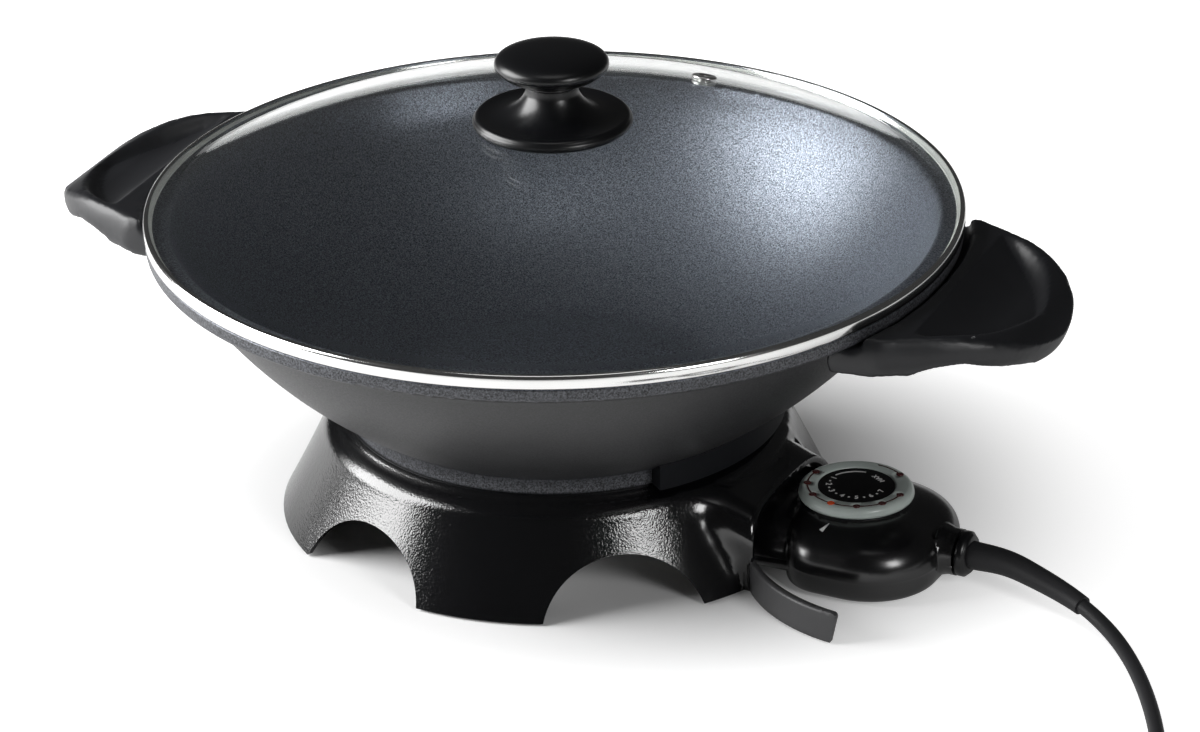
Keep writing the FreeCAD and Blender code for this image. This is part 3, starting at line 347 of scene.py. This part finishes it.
FINISHES = {"base_plastic": spark_textured_plastic("base_plastic"), "glass": clear_glass("clear_glass")}
FINISHES.update((name, nonstick_coating(name, **look)) for name, look in COATINGS.items())
FINISHES.update((name, surface(name, **look)) for name, look in PLAIN_FINISHES.items())

NODE_FINISH = {
    "base_shell": "base_plastic", "rubber_feet": "black_rubber", "base_screws": "plain_steel",
    "heating_element": "element_sheath", "terminal_pins": "plain_steel",
    "terminal_plate": "ceramic", "terminal_cover": "dark_cover", "handle_right": "handle_plastic",
    "handle_left": "handle_plastic", "handle_bolts": "plain_steel", "lid_rim": "rim_steel",
    "rim_gasket": "grey_rubber", "vent_eyelet": "plain_steel", "knob_seat": "black_rubber",
    "knob_collar": "phenolic", "knob_base": "phenolic", "knob_cap": "phenolic",
    "knob_washer": "plain_steel", "knob_screw": "plain_steel", "control_housing_upper": "gloss_black",
    "control_housing_lower": "gloss_black", "contact_block": "dark_cover", "contact_sleeves": "brass",
    "probe_rod": "plain_steel", "thermostat": "ceramic", "cord_bushing": "phenolic",
    "housing_screws": "plain_steel", "strain_relief": "black_rubber", "plug_body": "black_rubber",
    "plug_pins": "nickel", "plug_earth_strips": "nickel", "dial_ring": "dial_grey",
    "dial_face": "dial_black", "dial_dots": "dark_red", "dial_dot_lit": "lamp_orange",
    "dial_spindle": "ceramic",
}

# Nodes of NODE_FINISH that get a shape of their own rather than a plain smooth copy
RESHAPED = ("base_shell", "handle_right", "handle_left", "knob_cap", "lid_rim", "rim_gasket")


# ---------------------------------------------------------------- meshes

def body_of_node(node):
    for body, members in frame["record"]["behaviour"]["bodies"].items():
        if node in members:
            return body
    return None


def object_from(bm, name, finish, body, smooth_angle=35.0):
    """Makes a bmesh into a finished piece that rides on a body."""
    mesh = bpy.data.meshes.new(name)
    bm.to_mesh(mesh)
    bm.free()
    for polygon in mesh.polygons:
        polygon.use_smooth = True
    mesh.set_sharp_from_angle(angle=math.radians(smooth_angle))
    mesh.materials.append(FINISHES[finish])
    piece = into_scene(name, mesh)
    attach(piece, body)
    return piece


def skin_from(bm, node, smooth_angle, finish=None):
    """Makes a bmesh into the piece that stands for a CAD node."""
    piece = object_from(bm, node + "_skin", finish or NODE_FINISH[node], body_of_node(node),
                        smooth_angle)
    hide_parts(node)
    return piece


def joined_copy(node):
    """A copy of a CAD node with its faces joined along their edges."""
    bm = bmesh.new()
    bm.from_mesh(frame["nodes"][node].data)
    bmesh.ops.remove_doubles(bm, verts=bm.verts, dist=WELD)
    return bm


def fine_copy(node, longest):
    """A joined copy with its edges cut towards a longest length, ready to be relaxed."""
    bm = joined_copy(node)
    for _ in range(CUT_ROUNDS):
        long_edges = [edge for edge in bm.edges if edge.calc_length() > longest]
        bmesh.ops.subdivide_edges(bm, edges=long_edges, cuts=1)
        bmesh.ops.triangulate(bm, faces=bm.faces)
    return bm


def relax(bm, verts, rounds):
    for _ in range(rounds):
        bmesh.ops.smooth_vert(bm, verts=verts, factor=0.5, use_axis_x=True, use_axis_y=True,
                              use_axis_z=True)


def spun(profile, steps=240, closed=True):
    """Ring or dish: a profile of (radius, z) points turned about the vertical axis."""
    bm = bmesh.new()
    verts = [bm.verts.new((r, 0.0, z)) for r, z in profile]
    ends = verts[1:] + verts[:1] if closed else verts[1:]
    edges = [bm.edges.new(pair) for pair in zip(verts, ends)]
    bmesh.ops.spin(bm, geom=verts + edges, cent=(0, 0, 0), axis=(0, 0, 1), angle=TAU, steps=steps,
                   use_merge=True, use_duplicate=False)
    bmesh.ops.remove_doubles(bm, verts=bm.verts, dist=1e-6)
    bmesh.ops.recalc_face_normals(bm, faces=bm.faces)
    return bm


# ---------------------------------------------------------------- base, pan and handles

def soft_handle(node):
    """A handle with soft ridges beside its hollow."""
    bm = fine_copy(node, HANDLE_MESH)
    relax(bm, bm.verts, HANDLE_ROUNDS)
    skin_from(bm, node, 80.0)


def in_corner(place):
    """Whether a point lies where one of the hood's sides runs into the flared wall."""
    beside_hood = CORNER_NEAR[0] < place.y < CORNER_NEAR[1] or CORNER_FAR[0] < place.y < CORNER_FAR[1]
    return CORNER_X[0] < place.x < CORNER_X[1] and place.z > CORNER_FOOT and beside_hood


def blended_base():
    """The base with its hood flowing into the flared wall, and a matt guard strip whose grey is a painted
    reflection of the white floor.
    """
    bm = fine_copy("base_shell", BASE_MESH)
    relax(bm, [vert for vert in bm.verts if in_corner(vert.co)], CORNER_ROUNDS)
    for face in bm.faces:
        middle = face.calc_center_median()
        # faces of the guard strip get a lighter grey, a painted reflection of the white floor
        if middle.x > STRIP_FRONT and middle.y < STRIP_SIDE and middle.z < STRIP_TOP:
            face.material_index = 1
    piece = skin_from(bm, "base_shell", 30.0)
    piece.data.materials.append(FINISHES["strip_painted_floor_reflection"])


def pan_skin():
    """The pan with its bright flaked inside, plainer outside, and rough foot band and flange edge."""
    bm = joined_copy("wok_pan")
    for height in (BAND_LOW, BAND_HIGH, FLANGE_EDGE):
        everything = bm.verts[:] + bm.edges[:] + bm.faces[:]
        bmesh.ops.bisect_plane(bm, geom=everything, dist=1e-6, plane_co=(0, 0, height), plane_no=(0, 0, 1))
    for face in bm.faces:
        middle = face.calc_center_median()
        outward = face.normal.x * middle.x + face.normal.y * middle.y
        if middle.z > PAN_FLOOR - FLOOR_MARGIN and (outward < -1e-6 or face.normal.z > FLAT_UP):
            face.material_index = 1
        elif (BAND_LOW < middle.z < BAND_HIGH or middle.z > FLANGE_EDGE) and outward > 0.0:
            face.material_index = 2
    piece = skin_from(bm, "wok_pan", 30.0, "coating_outside")
    piece.data.materials.append(FINISHES["coating_inside"])
    piece.data.materials.append(FINISHES["foot_band"])


# ---------------------------------------------------------------- lid

def knob_dome():
    """The knob's pressed top as one smooth dome over its rolled seam."""
    low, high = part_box("knob_cap")
    wide = high.x - KNOB_INSET
    waist = low.z + KNOB_SEAM
    foot_in, middle_in, middle_up = SEAM_ROUND
    profile = [(0.0, low.z), (wide - foot_in, low.z), (wide - middle_in, low.z + middle_up)]
    for i in range(KNOB_STEPS + 1):
        lean = math.pi / 2.0 * i / KNOB_STEPS
        radius = wide * math.cos(lean) ** KNOB_FULLNESS
        profile.append((radius, waist + (high.z - waist) * math.sin(lean) ** KNOB_FULLNESS))
    skin_from(spun(profile, closed=False), "knob_cap", 50.0)


def dome_line(outer_r, below):
    """Points down the glass dome from its middle hole, on the sphere or at a depth below it."""
    rise = GLASS_APEX - BRIM_TOP
    dome_r = (GLASS_CHORD_R ** 2 + rise ** 2) / (2.0 * rise)
    points = []
    for i in range(GLASS_STEPS + 1):
        r = GLASS_HOLE_R + (outer_r - GLASS_HOLE_R) * i / GLASS_STEPS
        points.append((r, math.sqrt((dome_r - below) ** 2 - r * r) + GLASS_APEX - dome_r))
    return points


def lid_glass():
    outer = dome_line(GLASS_CHORD_R, 0.0)
    inner = dome_line(GLASS_CHORD_R - GLASS_INSET, GLASS_THICK)
    inner[-1] = (inner[-1][0], BRIM_TOP - GLASS_THICK)
    brim = [(GLASS_EDGE_R, BRIM_TOP), (GLASS_EDGE_R, BRIM_TOP - GLASS_THICK)]
    skin_from(spun(outer + brim + inner[::-1]), "lid_glass", 40.0, "glass")


def steel_rim():
    """Rolled steel band round the glass, with a narrow lip over it and a wide one under it."""
    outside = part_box("lid_rim")[1].x
    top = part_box("lid_rim")[1].z
    lip = outside - RIM_LIP
    inside = outside - RIM_SHEET
    over_glass = BRIM_TOP + RIM_GAP
    under_glass = RIM_BOTTOM + RIM_SHEET
    lower_corner = [(outside - RIM_ROUND, RIM_BOTTOM), (outside - RIM_CUT, RIM_BOTTOM + RIM_CUT),
                    (outside, RIM_BOTTOM + RIM_ROUND)]
    upper_corner = [(outside, top - RIM_TOP_ROUND), (outside - RIM_TOP_CUT, top - RIM_CUT),
                    (outside - RIM_ROUND, top)]
    upper_lip = [(lip, top - RIM_LIP_DROP), (lip, over_glass), (inside, over_glass)]
    lower_lip = [(inside, under_glass), (RIM_INSIDE_R, under_glass)]
    profile = [(RIM_INSIDE_R, RIM_BOTTOM)] + lower_corner + upper_corner + upper_lip + lower_lip
    skin_from(spun(profile), "lid_rim", 60.0)


def rim_packing():
    """Thin ring between the glass and the band's lower lip."""
    low = RIM_BOTTOM + RIM_SHEET + PACKING_GAP
    high = BRIM_TOP - GLASS_THICK - PACKING_GAP
    outside = GLASS_EDGE_R - PACKING_INSET
    profile = [(PACKING_INSIDE_R, low), (outside, low), (outside, high), (PACKING_INSIDE_R, high)]
    skin_from(spun(profile), "rim_gasket", 40.0)


# ---------------------------------------------------------------- dial and pointer

def spot_on(node, x, y):
    """Top surface of a CAD node under a point: its place and its normal."""
    bm = bmesh.new()
    bm.from_mesh(frame["nodes"][node].data)
    tree = BVHTree.FromBMesh(bm)
    place, normal, _, _ = tree.ray_cast(Vector((x, y, OVER_ALL)), Vector((0, 0, -1)))
    bm.free()
    return place, normal


def on_dial(radius, angle, z):
    turn = math.radians(angle)
    return Vector((DIAL_X + radius * math.cos(turn), radius * math.sin(turn), z))


def arc_bar(name, radii, arc, z, height, finish):
    """Thin curved bar on the dial, between two radii and two angles in degrees."""
    inner, outer = radii
    start, stop = arc
    bm = bmesh.new()
    corners = [on_dial(inner, start, z), on_dial(outer, start, z), on_dial(outer, start, z + height),
               on_dial(inner, start, z + height)]
    face = bm.faces.new([bm.verts.new(corner) for corner in corners])
    steps = max(2, int(abs(stop - start) / ARC_STEP))
    bmesh.ops.spin(bm, geom=[face], cent=(DIAL_X, 0, 0), axis=(0, 0, 1), angle=math.radians(stop - start),
                   steps=steps, use_duplicate=False)
    bmesh.ops.recalc_face_normals(bm, faces=bm.faces)
    return object_from(bm, name, finish, "dial")


def figure(name, text, size, centre, turn):
    """Flat printed figure, standing a hair above the dial's black disc."""
    curve = bpy.data.curves.new(name, "FONT")
    curve.body = text
    curve.size = size
    curve.align_x = "CENTER"
    curve.align_y = "CENTER"
    curve.extrude = PRINT_HALF
    curve.offset = PRINT_BOLD
    curve.resolution_u = 3
    holder = into_scene(name + "_outline", curve)
    bpy.context.view_layer.update()
    mesh = bpy.data.meshes.new_from_object(holder.evaluated_get(bpy.context.evaluated_depsgraph_get()))
    bpy.data.objects.remove(holder)
    mesh.transform(Matrix.Translation(centre) @ Matrix.Rotation(math.radians(turn), 4, "Z"))
    mesh.materials.clear()
    mesh.materials.append(FINISHES["white_ink"])
    piece = into_scene(name, mesh)
    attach(piece, "dial")
    return piece


def dial_print():
    """Plain figures on the black disc and the dark red line that joins the lamp dots."""
    print_z = FACE_TOP + PRINT_GAP
    bar_z = print_z - BAR_SUNK
    for number, angle in enumerate(LAMP_ANGLES, start=1):
        figure(f"dial_figure_{number}", str(number), FIGURE_SIZE, on_dial(FIGURE_R, angle, print_z),
               angle + QUARTER)
    for number, angle in enumerate(LAMP_ANGLES[:-1], start=1):
        arc = (angle + TICK_ARC[0], angle + TICK_ARC[1])
        arc_bar(f"dial_tick_{number}", TICK_RADII, arc, bar_z, BAR_HEIGHT, "white_ink")
    arc_bar("dial_sweep_line", SWEEP_RADII, SWEEP_ARC, bar_z, BAR_HEIGHT, "white_ink")
    figure("dial_word_max", "MAX", WORD_SIZE, on_dial(WORD_R, WORD_ANGLE, print_z), WORD_ANGLE + QUARTER)
    on_ring = on_dial(LAMP_RING_R, LAMP_LINE_AT, 0.0)
    line_z = spot_on("dial_ring", on_ring.x, on_ring.y)[0].z - LAMP_LINE_SUNK
    line_radii = (LAMP_RING_R - LAMP_LINE_HALF, LAMP_RING_R + LAMP_LINE_HALF)
    for name, arc in (("lamp_line", (LAMP_ANGLES[0], LAMP_ANGLES[-1])), ("lamp_line_far", LAMP_FAR_ARC)):
        arc_bar(name, line_radii, arc, line_z, LAMP_LINE_HEIGHT, "dark_red")


def pointer_mark():
    """White pointer printed on the housing in front of the lit dot."""
    place, normal = spot_on("control_housing_upper", POINTER_X, POINTER_Y)
    bm = bmesh.new()
    tip = bm.verts.new((0.0012, 0.0030, 0.0))
    left = bm.verts.new((-0.0014, -0.0014, 0.0))
    right = bm.verts.new((0.0004, -0.0022, 0.0))
    face = bm.faces.new((tip, left, right))
    grown = bmesh.ops.extrude_face_region(bm, geom=[face])
    lifted = [item for item in grown["geom"] if isinstance(item, bmesh.types.BMVert)]
    bmesh.ops.translate(bm, verts=lifted, vec=(0, 0, POINTER_HEIGHT))
    bmesh.ops.recalc_face_normals(bm, faces=bm.faces)
    lean = Vector((0, 0, 1)).rotation_difference(normal).to_matrix().to_4x4()
    bm.transform(Matrix.Translation(place - normal * POINTER_SUNK) @ lean)
    return object_from(bm, "pointer_mark", "white_ink", "control")


# ---------------------------------------------------------------- lead

def shifted(turned, shift):
    """How much of a shift is done after some degrees of the turns, from 0 to 1, with soft ends."""
    start, length = shift
    t = max(0.0, min(1.0, (turned - start) / length))
    return t * t * (3.0 - 2.0 * t)


def coil_points():
    """Guide points of the stored turns: out low, in low, in high, out high."""
    end = Vector(CORD_ROUTE[-1])
    heading = (end - Vector(CORD_ROUTE[-2])).normalized()
    right = Vector((heading.y, -heading.x, 0.0))
    outer = COIL_R + CORD_D / 2.0
    centre = end + heading * COIL_STUB + right * outer
    first = math.degrees(math.atan2(-right.y, -right.x))
    total = COIL_WHOLE_TURNS * 360.0 + (first - COIL_EXIT) % 360.0
    count = round(total / COIL_STEP)
    widen = 1.0 / math.cos(math.radians(COIL_STEP / 2.0))
    points = []
    for i in range(count + 1):
        turned = total * i / count
        inward = shifted(turned, SHIFT_IN) - shifted(turned, SHIFT_OUT)
        radius = (outer - CORD_D * inward) * widen
        angle = math.radians(first - turned)
        points.append(Vector((centre.x + radius * math.cos(angle), centre.y + radius * math.sin(angle),
                              CORD_Z + CORD_D * shifted(turned, SHIFT_UP))))
    exit_angle = math.radians(COIL_EXIT)
    slope = math.radians(PLUG_TAPER)
    along = Vector((math.sin(exit_angle) * math.cos(slope), -math.cos(exit_angle) * math.cos(slope),
                    math.sin(slope)))
    start = Vector((centre.x + outer * math.cos(exit_angle), centre.y + outer * math.sin(exit_angle),
                    CORD_Z + CORD_D))
    return points, [start + along * COIL_TAIL * part for part in (0.35, 0.7, 1.0)]


def power_lead():
    turns, tail = coil_points()
    guide = [Vector(point) for point in CORD_ROUTE] + turns + tail
    curve = bpy.data.curves.new("power_lead", "CURVE")
    curve.dimensions = "3D"
    curve.bevel_depth = CORD_D / 2.0
    curve.bevel_resolution = 6
    curve.use_fill_caps = True
    spline = curve.splines.new("NURBS")
    spline.points.add(len(guide) - 1)
    for point, place in zip(spline.points, guide):
        point.co = (*place, 1.0)
    spline.order_u = 3
    spline.use_endpoint_u = True
    spline.resolution_u = 8
    lead = into_scene("power_lead", curve)
    curve.materials.append(FINISHES["black_rubber"])
    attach(lead, "control")
    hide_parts("power_cord", "cord_coil")
    return lead


# ---------------------------------------------------------------- stage, lights, camera

def math_node(nodes, operation):
    node = nodes.new("ShaderNodeMath")
    node.operation = operation
    return node


def white_floor():
    """Round floor that glows white to the camera, but not close to the part."""
    bm = bmesh.new()
    bmesh.ops.create_circle(bm, cap_ends=True, segments=FLOOR_SIDES, radius=FLOOR_R)
    mesh = bpy.data.meshes.new("floor")
    bm.to_mesh(mesh)
    bm.free()
    floor = into_scene("floor", mesh)
    floor.location.z = -FLOOR_GAP
    material, nodes, links, shader = new_material("floor_white")
    shader.inputs["Base Color"].default_value = (FLOOR_COLOUR, FLOOR_COLOUR, FLOOR_COLOUR, 1.0)
    shader.inputs["Roughness"].default_value = 0.9
    shader.inputs["Specular IOR Level"].default_value = 0.0
    shader.inputs["Emission Color"].default_value = (1.0, 1.0, 1.0, 1.0)
    rays = nodes.new("ShaderNodeLightPath")
    seen = math_node(nodes, "MAXIMUM")
    links.new(rays.outputs["Is Camera Ray"], seen.inputs[0])
    links.new(rays.outputs["Is Transmission Ray"], seen.inputs[1])
    mirrored = math_node(nodes, "MULTIPLY_ADD")
    mirrored.inputs[1].default_value = GLOW_MIRRORED
    links.new(rays.outputs["Is Glossy Ray"], mirrored.inputs[0])
    links.new(seen.outputs[0], mirrored.inputs[2])
    place = nodes.new("ShaderNodeTexCoord")
    distance = nodes.new("ShaderNodeVectorMath")
    distance.operation = "LENGTH"
    links.new(place.outputs["Object"], distance.inputs[0])
    spread = map_range(nodes, (GLOW_START, GLOW_FULL), (0.0, GLOW_LEVEL))
    spread.interpolation_type = "SMOOTHSTEP"
    links.new(distance.outputs["Value"], spread.inputs["Value"])
    lift = math_node(nodes, "MULTIPLY")
    links.new(mirrored.outputs[0], lift.inputs[0])
    links.new(spread.outputs["Result"], lift.inputs[1])
    links.new(lift.outputs[0], shader.inputs["Emission Strength"])
    mesh.materials.append(material)


def studio_world():
    """World that is white to the camera and dim to everything else."""
    world = bpy.data.worlds.new("studio")
    bpy.context.scene.world = world
    world.use_nodes = True
    nodes = world.node_tree.nodes
    links = world.node_tree.links
    back = nodes["Background"]
    back.inputs["Color"].default_value = (1.0, 1.0, 1.0, 1.0)
    rays = nodes.new("ShaderNodeLightPath")
    level = map_range(nodes, (0.0, 1.0), (WORLD_LEVEL, 1.0))
    links.new(rays.outputs["Is Camera Ray"], level.inputs["Value"])
    links.new(level.outputs["Result"], back.inputs["Strength"])


def softbox(name, azimuth, elevation, distance, size, power):
    """Rectangular lamp that faces the pan from an azimuth and an elevation, in degrees."""
    around = math.radians(azimuth)
    up = math.radians(elevation)
    away = Vector((math.sin(around) * math.cos(up), -math.cos(around) * math.cos(up), math.sin(up)))
    light = bpy.data.lights.new(name, "AREA")
    light.shape = "RECTANGLE"
    light.size, light.size_y = size
    light.energy = power
    lamp = into_scene(name, light)
    lamp.location = LAMP_AIM + distance * away
    lamp.rotation_euler = (LAMP_AIM - lamp.location).to_track_quat("-Z", "Y").to_euler()


def studio_lights():
    softbox("wide_left", -66.0, 25.0, 1.9, (1.6, 1.4), 80.0)
    softbox("small_right", 65.0, 25.0, 1.6, (0.42, 0.5), 7.0)
    softbox("overhead", 30.0, 80.0, 1.9, (1.0, 0.7), 2.5)


def camera():
    data = bpy.data.cameras.new("camera")
    data.lens = CAMERA_LENS
    data.sensor_width = CAMERA_SENSOR
    data.clip_end = CAMERA_REACH
    holder = into_scene("camera", data)
    turn = Matrix((CAMERA_RIGHT, CAMERA_UP, CAMERA_BACK)).transposed().to_4x4()
    holder.matrix_world = Matrix.Translation(CAMERA_PLACE) @ turn
    bpy.context.scene.camera = holder


# ---------------------------------------------------------------- the whole

bpy.context.scene.view_settings.view_transform = "Standard"
white_floor()
studio_world()
studio_lights()
camera()

for node_name in NODE_FINISH:
    if node_name not in RESHAPED:
        skin_from(joined_copy(node_name), node_name, 30.0)
blended_base()
soft_handle("handle_right")
soft_handle("handle_left")
knob_dome()
pan_skin()
lid_glass()
steel_rim()
rim_packing()
dial_print()
pointer_mark()
lead = power_lead()
